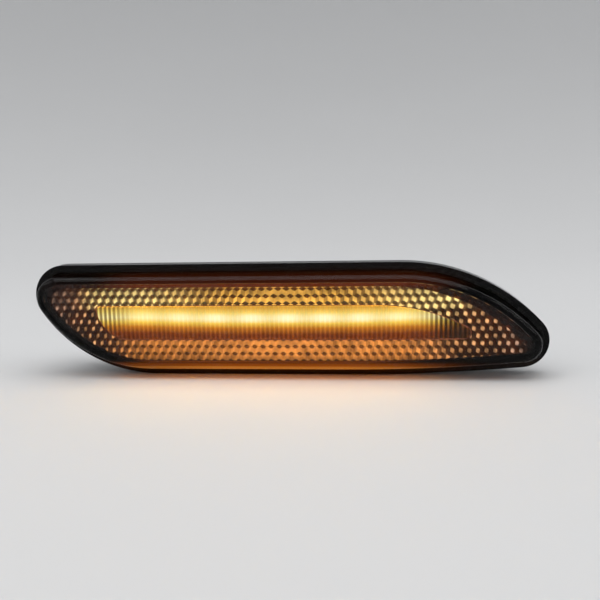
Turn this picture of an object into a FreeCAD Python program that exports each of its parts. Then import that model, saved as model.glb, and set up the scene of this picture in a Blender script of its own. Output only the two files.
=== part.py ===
"""Side indicator lamp for a car's front wing: a smoked cover lens over a reflex plate and a fluted
light bar, lit by a row of amber LEDs, in a clip-in housing with a two-way plug socket.

Frame: X along the lamp, +Z up, the light leaves towards -Y. The origin lies on the panel that the
lamp is clipped to, so levels are counted forwards from that panel (level = -Y), in millimetres."""

import FreeCAD, Part
import math
import os
from dataclasses import dataclass, replace
from types import SimpleNamespace

import Sketcher
from FreeCAD import Placement, Rotation, Vector

SIZES = {
    # Cover lens: a leaning outline, straight along its top and bottom, with two arcs at each end
    "lens_length": 131.4,
    "lens_height": 28.7,
    "lens_upper_right_radius": 47.0,
    "lens_right_tip_radius": 6.8,
    "lens_lower_right_radius": 490.0,
    "lens_lower_left_radius": 37.0,
    "lens_left_tip_radius": 7.9,
    "bottom_flat_end": 15.0,
    "lens_flange": 1.6,
    "lens_rim": 1.9,
    "crown_height": 7.0,
    "crown_draft": 7.0,
    "crown_edge_radius": 1.6,
    "lens_wall": 1.6,
    # Joint between lens and housing: a tongue set in a groove on a bead of sealant
    "tongue_inset": 1.2,
    "tongue_width": 1.2,
    "tongue_depth": 0.9,
    "groove_depth": 1.3,
    "groove_gap": 0.1,
    # Reflex plate with its field of cube-corner cells
    "plate_gap": 0.25,
    "plate_thickness": 1.2,
    "plate_back": 8.0,
    "cell_pitch": 2.06,
    "cell_row_pitch": 1.83,
    "cell_depth": 1.2,
    "cell_land": 0.2,
    "cell_drop": 0.05,
    "field_end_inset": 6.05,
    "field_side_inset": 5.1,
    "field_upper_right_step": 2.0,
    "field_right_tip_radius": 1.2,
    "field_lower_left_step": 6.5,
    "field_left_tip_radius": 3.0,
    "field_drop": 0.45,
    # Window in the plate and the fluted light bar that fills it
    "window_end_inset": 18.6,
    "window_height": 8.5,
    "window_upper_right_radius": 46.0,
    "window_right_tip_radius": 1.4,
    "window_lower_right_radius": 1600.0,
    "window_lower_left_radius": 8.6,
    "window_left_tip_radius": 0.7,
    "window_drop": 0.15,
    "window_shift": 1.0,
    "window_rim": 0.3,
    "bar_gap": 0.1,
    "bar_lip": 1.0,
    "bar_lip_thickness": 1.0,
    "bar_stem": 1.5,
    "flute_pitch": 1.16,
    "flute_rise": 0.26,
    "flute_crest": 0.36,
    # Reflector trough, board and LEDs
    "trough_rim": 0.4,
    "trough_draft": 12.0,
    "trough_floor": 1.0,
    "trough_tip_radius": 1.9,
    "ear_radius": 2.3,
    "ear_bridge": 5.2,
    "board_front": 0.2,
    "board_thickness": 1.6,
    "board_gap": 0.3,
    "led_first": -35.6,
    "led_pitch": 9.2,
    "led_length": 3.5,
    "led_width": 2.8,
    "led_height": 1.4,
    "led_rim": 0.3,
    "led_dome": 0.35,
    "led_hole_gap": 0.25,
    "led_rise": 0.3,
    # Board screws
    "screw_left_inset": 4.8,
    "screw_left_rise": 3.6,
    "screw_right_inset": 4.6,
    "screw_right_drop": 3.2,
    "screw_radius": 1.1,
    "screw_head_radius": 1.9,
    "screw_head_height": 1.3,
    "screw_length": 6.5,
    "screw_hole_gap": 0.15,
    # Driver parts on the back of the board, placed by shares of the body length from its middle
    "resistor_length": 6.3,
    "resistor_width": 3.2,
    "resistor_height": 0.7,
    "resistor_share": 0.215,
    "resistor_pitch_share": 0.08,
    "chip_length": 4.9,
    "chip_width": 3.9,
    "chip_height": 1.6,
    "chip_share": 0.055,
    "leg_pitch": 1.27,
    "leg_width": 0.42,
    "leg_reach": 1.05,
    "leg_height": 0.5,
    "diode_length": 4.5,
    "diode_width": 2.6,
    "diode_height": 2.2,
    "diode_share": 0.143,
    "capacitor_radius": 2.5,
    "capacitor_height": 4.2,
    "capacitor_share": 0.34,
    # Housing: flange, body that passes through the panel, and its floor
    "housing_flange": 2.4,
    "rib_wall": 1.2,
    "body_end_inset": 9.7,
    "body_side_inset": 5.1,
    "body_upper_right_step": 9.0,
    "body_right_tip_radius": 4.4,
    "body_lower_right_radius": 420.0,
    "body_lower_left_step": 11.0,
    "body_left_tip_radius": 4.6,
    "body_depth": 10.4,
    "body_draft": 1.0,
    "body_wall": 1.6,
    "body_floor": 1.6,
    "boss_radius": 2.3,
    "pilot_depth": 5.0,
    "back_rib_width": 1.2,
    "back_rib_height": 0.9,
    "back_rib_inset": 14.0,
    "back_rib_pitch": 9.0,
    # Plug socket and its two blades
    "socket_inset": 26.0,
    "socket_length": 13.4,
    "socket_width": 9.2,
    "socket_wall": 1.3,
    "socket_depth": 12.0,
    "socket_corner": 1.0,
    "latch_width": 4.0,
    "latch_height": 1.1,
    "latch_length": 3.0,
    "latch_setback": 2.5,
    "blade_pitch": 5.0,
    "blade_width": 1.5,
    "blade_thickness": 0.64,
    "blade_reach": 5.5,
    "blade_sink": 0.1,
    "blade_hole_gap": 0.12,
    "blade_tip": 0.2,
    # Gasket, hook and spring clip that hold the lamp in the panel
    "gasket": 1.5,
    "gasket_inset": 0.8,
    "gasket_width": 3.0,
    "panel_gap": 1.2,
    "hook_thickness": 2.2,
    "hook_reach": 3.0,
    "hook_width": 3.0,
    "hook_root": 1.5,
    "hook_lead": 1.2,
    "hook_drop": 4.5,
    "clip_rise": 6.0,
    "clip_width": 5.0,
    "clip_thickness": 0.4,
    "clip_inner_leg": 4.1,
    "clip_crest": 2.3,
    "clip_crest_back": 3.0,
    "clip_lead": 0.8,
    "clip_lead_back": 0.8,
    "tab_gap": 1.0,
    "tab_thickness": 1.2,
    "tab_depth": 7.6,
    "tab_width": 6.0,
}

LED_COUNT = 8
RESISTOR_COUNT = 3
LEGS_PER_SIDE = 4
BACK_RIB_COUNT = 6
SHEET = "Dims"


class Size:
    """A length or angle: its number, and the expression that ties it to the sheet."""

    def __init__(self, text, value):
        self.text = text
        self.value = value

    @staticmethod
    def of(other):
        return other if isinstance(other, Size) else Size(repr(float(other)), float(other))

    def _with(self, sign, other, value):
        return Size(f"({self.text} {sign} {Size.of(other).text})", value)

    def __add__(self, other):
        return self._with("+", other, self.value + Size.of(other).value)

    def __sub__(self, other):
        return self._with("-", other, self.value - Size.of(other).value)

    def __mul__(self, other):
        return self._with("*", other, self.value * Size.of(other).value)

    def __truediv__(self, other):
        return self._with("/", other, self.value / Size.of(other).value)

    def __neg__(self):
        return Size(f"(-1 * {self.text})", -self.value)

    def tan(self):
        return Size(f"tan({self.text} * 1 deg)", math.tan(math.radians(self.value)))

    def ceil(self):
        return Size(f"ceil({self.text})", math.ceil(self.value))


def make_sheet(doc):
    """The spreadsheet of driving dimensions, one named cell each."""
    sheet = doc.addObject("Spreadsheet::Sheet", SHEET)
    for row, (name, value) in enumerate(SIZES.items(), start=1):
        sheet.set(f"A{row}", name)
        sheet.set(f"B{row}", str(value))
        sheet.setAlias(f"B{row}", name)
    doc.recompute()
    return SimpleNamespace(**{n: Size(f"{SHEET}.{n}", v) for n, v in SIZES.items()})


doc = FreeCAD.newDocument("IndicatorLamp")
dim = make_sheet(doc)


# Outlines: one family of leaning shapes, each inset or outset from its parent

@dataclass
class Outline:
    """A straight top, a left tip arc, a lower left arc, a straight bottom, a long lower right arc,
    a right tip arc and an upper right arc, each tangent to the next. Its middle may lie lower than the
    lamp's by the drop and further left by the shift."""

    length: Size
    height: Size
    upper_right: Size
    right_tip: Size
    lower_right: Size
    lower_left: Size
    left_tip: Size
    flat_end: Size
    drop: Size
    shift: Size

    def inset(self, by):
        return replace(
            self,
            length=self.length - by * 2,
            height=self.height - by * 2,
            upper_right=self.upper_right - by,
            right_tip=self.right_tip - by,
            lower_right=self.lower_right - by,
            lower_left=self.lower_left - by,
            left_tip=self.left_tip - by,
        )

    def segments(self):
        """The seven pieces, anticlockwise from the top, worked out from the tangencies."""
        half = self.length.value / 2
        top = self.height.value / 2 - self.drop.value
        bottom = top - self.height.value
        big_ur, tip_r = self.upper_right.value, self.right_tip.value
        big_lr, flat = self.lower_right.value, self.flat_end.value
        big_ll, tip_l = self.lower_left.value, self.left_tip.value
        shift = self.shift.value
        tip_r_x = half - shift - tip_r
        tip_r_z = bottom + big_lr - math.sqrt((big_lr - tip_r) ** 2 - (tip_r_x - flat) ** 2)
        ur_x = tip_r_x - math.sqrt((big_ur - tip_r) ** 2 - (top - big_ur - tip_r_z) ** 2)
        tip_l_x, tip_l_z = tip_l - half - shift, top - tip_l
        ll_x = tip_l_x + math.sqrt((big_ll - tip_l) ** 2 - (bottom + big_ll - tip_l_z) ** 2)
        tip_right, tip_left = (tip_r_x, tip_r_z), (tip_l_x, tip_l_z)
        centre_ur = (ur_x, top - big_ur)
        centre_lr = (flat, bottom + big_lr)
        centre_ll = (ll_x, bottom + big_ll)
        up, down, turn = math.pi / 2, 1.5 * math.pi, 2 * math.pi
        to_ll = heading(centre_ll, tip_left)
        to_lr = heading(centre_lr, tip_right)
        to_ur = heading(centre_ur, tip_right)
        return [
            Part.LineSegment(Vector(ur_x, top, 0), Vector(tip_l_x, top, 0)),
            arc(tip_left, tip_l, up, to_ll),
            arc(centre_ll, big_ll, to_ll, down),
            Part.LineSegment(Vector(ll_x, bottom, 0), Vector(flat, bottom, 0)),
            arc(centre_lr, big_lr, down, to_lr),
            arc(tip_right, tip_r, to_lr, to_ur + turn),
            arc(centre_ur, big_ur, to_ur, up),
        ]


def heading(start, end):
    return math.atan2(end[1] - start[1], end[0] - start[0]) % (2 * math.pi)


def arc(centre, radius, start, end):
    return Part.ArcOfCircle(Part.Circle(Vector(*centre, 0), Vector(0, 0, 1), radius), start, end)


LENS = Outline(
    length=dim.lens_length,
    height=dim.lens_height,
    upper_right=dim.lens_upper_right_radius,
    right_tip=dim.lens_right_tip_radius,
    lower_right=dim.lens_lower_right_radius,
    lower_left=dim.lens_lower_left_radius,
    left_tip=dim.lens_left_tip_radius,
    flat_end=dim.bottom_flat_end,
    drop=dim.lens_length * 0,
    shift=dim.lens_length * 0,
)
FIELD = replace(
    LENS,
    length=LENS.length - dim.field_end_inset * 2,
    height=LENS.height - dim.field_side_inset * 2,
    upper_right=LENS.upper_right - dim.field_upper_right_step,
    right_tip=dim.field_right_tip_radius,
    lower_left=LENS.lower_left - dim.field_lower_left_step,
    left_tip=dim.field_left_tip_radius,
    drop=dim.field_drop,
)
WINDOW = replace(
    LENS,
    length=LENS.length - dim.window_end_inset * 2,
    height=dim.window_height,
    upper_right=dim.window_upper_right_radius,
    right_tip=dim.window_right_tip_radius,
    lower_right=dim.window_lower_right_radius,
    lower_left=dim.window_lower_left_radius,
    left_tip=dim.window_left_tip_radius,
    drop=dim.window_drop,
    shift=dim.window_shift,
)
BODY = replace(
    LENS,
    length=LENS.length - dim.body_end_inset * 2,
    height=LENS.height - dim.body_side_inset * 2,
    upper_right=LENS.upper_right - dim.body_upper_right_step,
    right_tip=dim.body_right_tip_radius,
    lower_right=dim.body_lower_right_radius,
    lower_left=LENS.lower_left - dim.body_lower_left_step,
    left_tip=dim.body_left_tip_radius,
)
ZERO = LENS.drop

# Levels, counted forwards from the panel
LENS_SEAT = dim.gasket + dim.housing_flange
CROWN_BASE = LENS_SEAT + dim.lens_flange
CROWN_FRONT = CROWN_BASE + dim.crown_height
PLATE_FRONT = dim.plate_back + dim.plate_thickness
BAR_BACK = dim.plate_back - dim.bar_lip_thickness
BOARD_BACK = dim.board_front - dim.board_thickness
BODY_BACK = -dim.body_depth
FLOOR_FRONT = BODY_BACK + dim.body_floor
SOCKET_MOUTH = BODY_BACK - dim.socket_depth
SOCKET_PLACE = BODY.length / 2 - dim.socket_inset
CHIP_PLACE = BODY.length * dim.chip_share
DIODE_PLACE = BODY.length * dim.diode_share
CAPACITOR_PLACE = -(BODY.length * dim.capacitor_share)

# Insets from the lens outline
PLATE_INSET = dim.lens_rim + dim.lens_wall + dim.plate_gap + dim.crown_height * dim.crown_draft.tan()
BOARD_INSET = dim.body_wall + dim.board_gap
SCREWS = {
    "left": (dim.screw_left_inset - BODY.length / 2, dim.screw_left_rise),
    "right": (BODY.length / 2 - dim.screw_right_inset, -dim.screw_right_drop),
}


# Helpers that make features and tie them to the sheet

def new_body(label):
    body = doc.addObject("PartDesign::Body", label)
    body.Label = label
    return body


def origin_plane(body, role):
    return next(f for f in body.Origin.OriginFeatures if f.Role == role)


def new_sketch(body, name, level, role="XZ_Plane"):
    """A sketch on one of the body's own planes, moved along its normal to a level."""
    sketch = body.newObject("Sketcher::SketchObject", name)
    sketch.AttachmentSupport = (origin_plane(body, role), [""])
    sketch.MapMode = "FlatFace"
    sketch.setExpression("AttachmentOffset.Base.z", level.text)
    return sketch


def constrain(sketch, kind, *places, size, name):
    """A named dimension of a sketch, tied to the sheet."""
    index = sketch.addConstraint(Sketcher.Constraint(kind, *places, size.value))
    sketch.renameConstraint(index, name)
    sketch.setExpression(f"Constraints.{name}", size.text)


def draw_outline(sketch, outline, tag):
    """Draws an outline in a sketch as seven tangent pieces and constrains it fully."""
    first = sketch.GeometryCount
    sketch.addGeometry(outline.segments(), False)
    top, left_tip, lower_left, bottom, lower_right, right_tip, upper_right = range(first, first + 7)
    for i in range(7):
        sketch.addConstraint(Sketcher.Constraint("Tangent", first + i, 2, first + (i + 1) % 7, 1))
    sketch.addConstraint(Sketcher.Constraint("Horizontal", top))
    sketch.addConstraint(Sketcher.Constraint("Horizontal", bottom))
    for geometry, size, name in (
        (left_tip, outline.left_tip, "left_tip"),
        (lower_left, outline.lower_left, "lower_left"),
        (lower_right, outline.lower_right, "lower_right"),
        (right_tip, outline.right_tip, "right_tip"),
        (upper_right, outline.upper_right, "upper_right"),
    ):
        constrain(sketch, "Radius", geometry, size=size, name=f"{tag}_{name}_radius")
    left = outline.length / 2 + outline.shift
    right = outline.length / 2 - outline.shift
    constrain(sketch, "DistanceY", -1, 1, top, 1, size=outline.height / 2 - outline.drop, name=f"{tag}_top")
    constrain(sketch, "DistanceY", bottom, 1, top, 2, size=outline.height, name=f"{tag}_height")
    constrain(sketch, "DistanceX", left_tip, 3, -1, 1, size=left - outline.left_tip, name=f"{tag}_left")
    constrain(sketch, "DistanceX", -1, 1, right_tip, 3, size=right - outline.right_tip, name=f"{tag}_right")
    constrain(sketch, "DistanceX", -1, 1, bottom, 2, size=outline.flat_end, name=f"{tag}_flat_end")


def outline_sketch(body, name, level, *outlines):
    """A sketch of one outline, or of a ring between two."""
    sketch = new_sketch(body, name, level)
    for i, outline in enumerate(outlines):
        draw_outline(sketch, outline, ("outer", "inner")[i])
    return sketch


def draw_box(sketch, centre_x, centre_y, width, height, tag):
    """A rectangle about a centre, which may lie on either side of the origin."""
    x0, x1 = (centre_x - width / 2).value, (centre_x + width / 2).value
    y0, y1 = (centre_y - height / 2).value, (centre_y + height / 2).value
    corners = [Vector(x0, y0, 0), Vector(x1, y0, 0), Vector(x1, y1, 0), Vector(x0, y1, 0)]
    first = sketch.GeometryCount
    sketch.addGeometry([Part.LineSegment(corners[i], corners[(i + 1) % 4]) for i in range(4)], False)
    for i in range(4):
        sketch.addConstraint(Sketcher.Constraint("Coincident", first + i, 2, first + (i + 1) % 4, 1))
    for i, direction in enumerate(("Horizontal", "Vertical", "Horizontal", "Vertical")):
        sketch.addConstraint(Sketcher.Constraint(direction, first + i))
    constrain(sketch, "DistanceX", first, 1, first, 2, size=width, name=f"{tag}_width")
    constrain(sketch, "DistanceY", first + 1, 1, first + 1, 2, size=height, name=f"{tag}_height")
    constrain(sketch, "DistanceX", -1, 1, first, 1, size=centre_x - width / 2, name=f"{tag}_x")
    constrain(sketch, "DistanceY", -1, 1, first, 1, size=centre_y - height / 2, name=f"{tag}_y")


def draw_circle(sketch, centre_x, centre_y, radius, tag):
    place = Vector(centre_x.value, centre_y.value, 0)
    first = sketch.addGeometry(Part.Circle(place, Vector(0, 0, 1), radius.value), False)
    constrain(sketch, "Radius", first, size=radius, name=f"{tag}_radius")
    constrain(sketch, "DistanceX", -1, 1, first, 3, size=centre_x, name=f"{tag}_x")
    constrain(sketch, "DistanceY", -1, 1, first, 3, size=centre_y, name=f"{tag}_y")


def draw_polygon(sketch, points, tag):
    """A closed polygon of straight sides through points given as pairs of sizes."""
    first = sketch.GeometryCount
    corners = [Vector(x.value, y.value, 0) for x, y in points]
    count = len(points)
    sketch.addGeometry([Part.LineSegment(corners[i], corners[(i + 1) % count]) for i in range(count)], False)
    for i, (x, y) in enumerate(points):
        before = first + (i - 1) % count
        sketch.addConstraint(Sketcher.Constraint("Coincident", before, 2, first + i, 1))
        constrain(sketch, "DistanceX", -1, 1, first + i, 1, size=x, name=f"{tag}_x{i}")
        constrain(sketch, "DistanceY", -1, 1, first + i, 1, size=y, name=f"{tag}_y{i}")


def extrude(kind, body, name, sketch, length, back=False, taper=None, midplane=False):
    """A Pad or Pocket of that length; back points it away from the light."""
    feature = body.newObject(f"PartDesign::{kind}", name)
    feature.Profile = sketch
    feature.setExpression("Length", length.text)
    feature.Reversed = back if kind == "Pad" else not back
    if midplane:
        feature.SideType = "Symmetric"
    if taper is not None:
        feature.setExpression("TaperAngle", taper.text)
    sketch.Visibility = False
    doc.recompute()
    return feature


def pad(body, name, sketch, length, **options):
    return extrude("Pad", body, name, sketch, length, **options)


def pocket(body, name, sketch, length, **options):
    """A Pocket that is sure to have cut something."""
    before = body.Tip.Shape.Volume
    feature = extrude("Pocket", body, name, sketch, length, **options)
    if not feature.Shape.Volume < before:
        raise RuntimeError(f"{body.Label}: {name} cut nothing")
    return feature


def row_of(body, name, feature, axis_role, count, pitch):
    """A straight row of copies of a feature."""
    axis = next(f for f in body.Origin.OriginFeatures if f.Role == axis_role)
    pattern = body.newObject("PartDesign::LinearPattern", name)
    pattern.Originals = [feature]
    pattern.Direction = (axis, [""])
    pattern.Mode = "Spacing"
    pattern.setExpression("Offset", pitch.text)
    pattern.Occurrences = count
    body.Tip = pattern
    doc.recompute()
    return pattern


def edges_at_level(shape, level):
    """Names of the edges that lie wholly at a level."""
    return [
        f"Edge{i}"
        for i, edge in enumerate(shape.Edges, start=1)
        if all(abs(-v.Point.y - level.value) < 1e-4 for v in edge.Vertexes)
    ]


def round_edges(body, name, base, edges, radius, kind="Fillet"):
    feature = body.newObject(f"PartDesign::{kind}", name)
    feature.Base = (base, edges)
    feature.setExpression("Radius" if kind == "Fillet" else "Size", radius.text)
    doc.recompute()
    return feature


# The pieces

def make_outer_lens():
    """Smoked cover: a flange, a drafted crown with a bowed front and a round edge, and a tongue."""
    body = new_body("outer_lens")
    pad(body, "LensFlange", outline_sketch(body, "LensFlangeSketch", LENS_SEAT, LENS), dim.lens_flange)
    crown_sketch = outline_sketch(body, "CrownSketch", CROWN_BASE, LENS.inset(dim.lens_rim))
    crown = pad(body, "Crown", crown_sketch, dim.crown_height, taper=-dim.crown_draft)
    round_edges(body, "CrownEdge", crown, edges_at_level(crown.Shape, CROWN_FRONT), dim.crown_edge_radius)
    tongue = LENS.inset(dim.tongue_inset)
    tongue_sketch = outline_sketch(body, "TongueSketch", LENS_SEAT, tongue, tongue.inset(dim.tongue_width))
    pad(body, "Tongue", tongue_sketch, dim.tongue_depth, back=True)
    cavity_sketch = outline_sketch(body, "CavitySketch", LENS_SEAT, LENS.inset(dim.lens_rim + dim.lens_wall))
    depth = dim.lens_flange + dim.crown_height - dim.lens_wall
    pocket(body, "Cavity", cavity_sketch, depth, taper=-dim.crown_draft)
    return body


def make_gasket():
    """Foam ring between the housing's flange and the panel."""
    body = new_body("gasket")
    ring = LENS.inset(dim.gasket_inset)
    sketch = outline_sketch(body, "RingSketch", ZERO, ring, ring.inset(dim.gasket_width))
    pad(body, "Ring", sketch, dim.gasket)
    return body


def groove_ring():
    outer = LENS.inset(dim.tongue_inset - dim.groove_gap)
    return outer, outer.inset(dim.tongue_width + dim.groove_gap * 2)


def make_lens_sealant():
    """Bead that fills the bottom of the groove under the lens's tongue."""
    body = new_body("lens_sealant")
    sketch = outline_sketch(body, "BeadSketch", LENS_SEAT - dim.groove_depth, *groove_ring())
    pad(body, "Bead", sketch, dim.groove_depth - dim.tongue_depth)
    return body


def make_reflex_plate():
    """Plate with a window, its front covered by a field of cube-corner cells trimmed to an outline."""
    blank = new_body("plate_blank")
    edge_sketch = outline_sketch(blank, "PlateSketch", dim.plate_back, LENS.inset(PLATE_INSET))
    pad(blank, "Plate", edge_sketch, dim.plate_thickness)
    window_sketch = outline_sketch(blank, "WindowSketch", dim.plate_back, WINDOW)
    pocket(blank, "Window", window_sketch, dim.plate_thickness)
    prism = new_body("field_prism")
    ring = outline_sketch(prism, "FieldSketch", dim.plate_back, FIELD, WINDOW.inset(-dim.window_rim))
    pad(prism, "Field", ring, dim.plate_thickness + dim.cell_land + dim.cell_depth)
    relief = doc.addObject("Part::Feature", "cell_relief")
    relief.Shape = cell_relief()
    trimmed = doc.addObject("Part::Common", "field_cells")
    trimmed.Base = prism
    trimmed.Tool = relief
    plate = doc.addObject("Part::Fuse", "reflex_plate")
    plate.Base = blank
    plate.Tool = trimmed
    plate.Refine = True
    plate.Label = "reflex_plate"
    doc.recompute()
    return plate


def cell_relief():
    """Solid slab whose front is a honeycomb of cube corners: each cell has its apex in the middle and
    corners that are in turn one half and all of the relief below it, joined by three flat rhombs."""
    half_pitch = SIZES["cell_pitch"] / 2
    half_side = SIZES["cell_row_pitch"] / 3
    low = SIZES["plate_back"] + SIZES["plate_thickness"] + SIZES["cell_land"]
    levels = {"apex": low + SIZES["cell_depth"], "middle": low + SIZES["cell_depth"] / 2, "low": low}
    base = SIZES["plate_back"] + SIZES["plate_thickness"] / 2
    columns = math.ceil(FIELD.length.value / 4 / half_pitch) + 1
    rows = math.ceil(FIELD.height.value / 6 / half_side) + 1
    ring = [
        (0, 2, "middle"),
        (1, 1, "low"),
        (1, -1, "middle"),
        (0, -2, "low"),
        (-1, -1, "middle"),
        (-1, 1, "low"),
    ]
    drop = SIZES["cell_drop"]

    def place(x, z, level):
        return Vector(x * half_pitch, -level, z * half_side - drop)

    faces = []
    sides = {}
    for row in range(-rows, rows + 1):
        for column in range(-columns, columns + 1):
            x, z = 2 * column + row % 2, 3 * row
            corners = [(x + dx, z + dz, levels[kind]) for dx, dz, kind in ring]
            for i in (0, 2, 4):
                rhomb = [(x, z, levels["apex"]), corners[i], corners[(i + 1) % 6], corners[(i + 2) % 6]]
                faces.append(flat_face([place(*c) for c in rhomb]))
            for i in range(6):
                start, end = corners[i], corners[(i + 1) % 6]
                if sides.pop((end, start), None) is None:
                    sides[(start, end)] = True
    following = {start: end for start, end in sides}
    start = next(iter(following))
    loop = [start]
    while following[loop[-1]] != start:
        loop.append(following[loop[-1]])
    for here, there in zip(loop, loop[1:] + loop[:1]):
        foot = [(here[0], here[1], base), (there[0], there[1], base)]
        faces.append(flat_face([place(*here), place(*there), place(*foot[1]), place(*foot[0])]))
    faces.append(flat_face([place(x, z, base) for x, z, _ in loop]))
    shell = Part.makeShell(faces)
    shell.sewShape()
    solid = Part.Solid(shell.Shells[0] if shell.Shells else shell)
    if solid.Volume < 0:
        solid.reverse()
    return solid


def flat_face(points):
    return Part.Face(Part.makePolygon(points + points[:1]))


def make_light_bar():
    """Clear bar in the window: upright flutes with narrow crests on its front and a lip behind the plate."""
    body = new_body("light_bar")
    count = (WINDOW.length / dim.flute_pitch).ceil() + 1
    left = -(count * dim.flute_pitch / 2 + WINDOW.shift)
    right = left + dim.flute_pitch
    flank = (dim.flute_pitch - dim.flute_crest) / 2
    back = -dim.plate_back
    shoulder = back - dim.bar_stem
    crest = shoulder - dim.flute_rise
    sketch = new_sketch(body, "FluteSketch", ZERO, "XY_Plane")
    profile = [
        (left, back),
        (right, back),
        (right, shoulder),
        (right - flank, crest),
        (left + flank, crest),
        (left, shoulder),
    ]
    draw_polygon(sketch, profile, "flute")
    flute = pad(body, "Flute", sketch, dim.window_height + dim.window_drop * 2, midplane=True)
    flutes = row_of(body, "Flutes", flute, "X_Axis", int(count.value), dim.flute_pitch)
    flutes.setExpression("Occurrences", count.text)
    trim = new_sketch(body, "TrimSketch", dim.plate_back)
    draw_outline(trim, WINDOW.inset(dim.bar_gap), "inner")
    draw_box(trim, ZERO, ZERO, dim.lens_length, dim.lens_height, "outer")
    pocket(body, "Trim", trim, dim.bar_stem + dim.flute_rise * 2)
    lip = outline_sketch(body, "LipSketch", BAR_BACK, WINDOW.inset(-dim.bar_lip))
    pad(body, "Lip", lip, dim.bar_lip_thickness)
    return body


def make_reflector():
    """White trough behind the light bar, with a hole for each LED and an ear for each screw."""
    body = new_body("reflector")
    outer = outline_sketch(body, "OuterSketch", dim.board_front, WINDOW.inset(-dim.bar_lip))
    pad(body, "Block", outer, BAR_BACK - dim.board_front)
    tip = dim.trough_tip_radius
    trough = replace(WINDOW.inset(dim.trough_rim), right_tip=tip, left_tip=tip)
    depth = BAR_BACK - dim.board_front - dim.trough_floor
    trough_sketch = outline_sketch(body, "TroughSketch", BAR_BACK, trough)
    pocket(body, "Trough", trough_sketch, depth, back=True, taper=-dim.trough_draft)
    hole_sketch = new_sketch(body, "LedHoleSketch", dim.board_front)
    hole_length = dim.led_length + dim.led_hole_gap * 2
    hole_width = dim.led_width + dim.led_hole_gap * 2
    draw_box(hole_sketch, dim.led_first, dim.led_rise, hole_length, hole_width, "hole")
    hole = pocket(body, "LedHole", hole_sketch, dim.trough_floor)
    row_of(body, "LedHoles", hole, "X_Axis", LED_COUNT, dim.led_pitch)
    bridge_sketch = new_sketch(body, "BridgeSketch", dim.board_front)
    for side, (x, z) in SCREWS.items():
        centre = x + dim.ear_bridge / 2 if side == "left" else x - dim.ear_bridge / 2
        draw_box(bridge_sketch, centre, z, dim.ear_bridge, dim.ear_radius, side)
    pad(body, "EarBridges", bridge_sketch, dim.trough_floor)
    pad(body, "EarDiscs", at_screws(body, "EarSketch", dim.board_front, dim.ear_radius), dim.trough_floor)
    holes = at_screws(body, "EarHoleSketch", dim.board_front, dim.screw_radius + dim.screw_hole_gap)
    pocket(body, "EarHoles", holes, dim.trough_floor)
    return body


def at_screws(body, name, level, radius):
    """A sketch of one circle at each screw."""
    sketch = new_sketch(body, name, level)
    for side, (x, z) in SCREWS.items():
        draw_circle(sketch, x, z, radius, side)
    return sketch


def blade_places():
    return {
        "positive": SOCKET_PLACE - dim.blade_pitch / 2,
        "negative": SOCKET_PLACE + dim.blade_pitch / 2,
    }


def at_blades(body, name, level, gap):
    """A sketch of one slot at each blade."""
    sketch = new_sketch(body, name, level)
    for pole, x in blade_places().items():
        draw_box(sketch, x, ZERO, dim.blade_width + gap * 2, dim.blade_thickness + gap * 2, pole)
    return sketch


def make_led_board():
    """Circuit board with holes for the two screws and the two blades."""
    body = new_body("led_board")
    board_sketch = outline_sketch(body, "BoardSketch", BOARD_BACK, BODY.inset(BOARD_INSET))
    pad(body, "Board", board_sketch, dim.board_thickness)
    holes = at_screws(body, "ScrewHoleSketch", BOARD_BACK, dim.screw_radius + dim.screw_hole_gap)
    pocket(body, "ScrewHoles", holes, dim.board_thickness)
    blade_sketch = at_blades(body, "BladeHoleSketch", BOARD_BACK, dim.blade_hole_gap)
    pocket(body, "BladeHoles", blade_sketch, dim.board_thickness)
    return body


def box_pad(body, name, level, x, z, width, height, length, back=False):
    sketch = new_sketch(body, f"{name}Sketch", level)
    draw_box(sketch, x, z, width, height, "box")
    return pad(body, name, sketch, length, back=back)


def disc_pad(body, name, level, x, z, radius, length, back=False):
    sketch = new_sketch(body, f"{name}Sketch", level)
    draw_circle(sketch, x, z, radius, "disc")
    return pad(body, name, sketch, length, back=back)


def make_led(index):
    """One LED: a square package and the low chamfered pad of resin over its chip."""
    body = new_body(f"led_{index + 1}")
    x = dim.led_first + dim.led_pitch * index
    box_pad(body, "Package", dim.board_front, x, dim.led_rise, dim.led_length, dim.led_width, dim.led_height)
    top = dim.board_front + dim.led_height
    resin = dim.led_width - dim.led_rim * 2
    pad_of_resin = box_pad(body, "Resin", top, x, dim.led_rise, resin, resin, dim.led_dome)
    edge = edges_at_level(pad_of_resin.Shape, top + dim.led_dome)
    round_edges(body, "ResinEdge", pad_of_resin, edge, dim.led_dome * 0.6, kind="Chamfer")
    return body


def make_resistor(index):
    """One chip resistor with its two metal ends."""
    body = new_body(f"resistor_{index + 1}")
    x = BODY.length * (dim.resistor_pitch_share * index - dim.resistor_share)
    end = dim.resistor_length / 6
    middle = dim.resistor_length - end
    shift = middle / 2
    height = dim.resistor_height
    box_pad(body, "Chip", BOARD_BACK, x, ZERO, middle, dim.resistor_width, height, back=True)
    for name, place in (("LeftEnd", x - shift), ("RightEnd", x + shift)):
        box_pad(body, name, BOARD_BACK, place, ZERO, end, dim.resistor_width * 1.04, height * 1.1, back=True)
    return body


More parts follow.
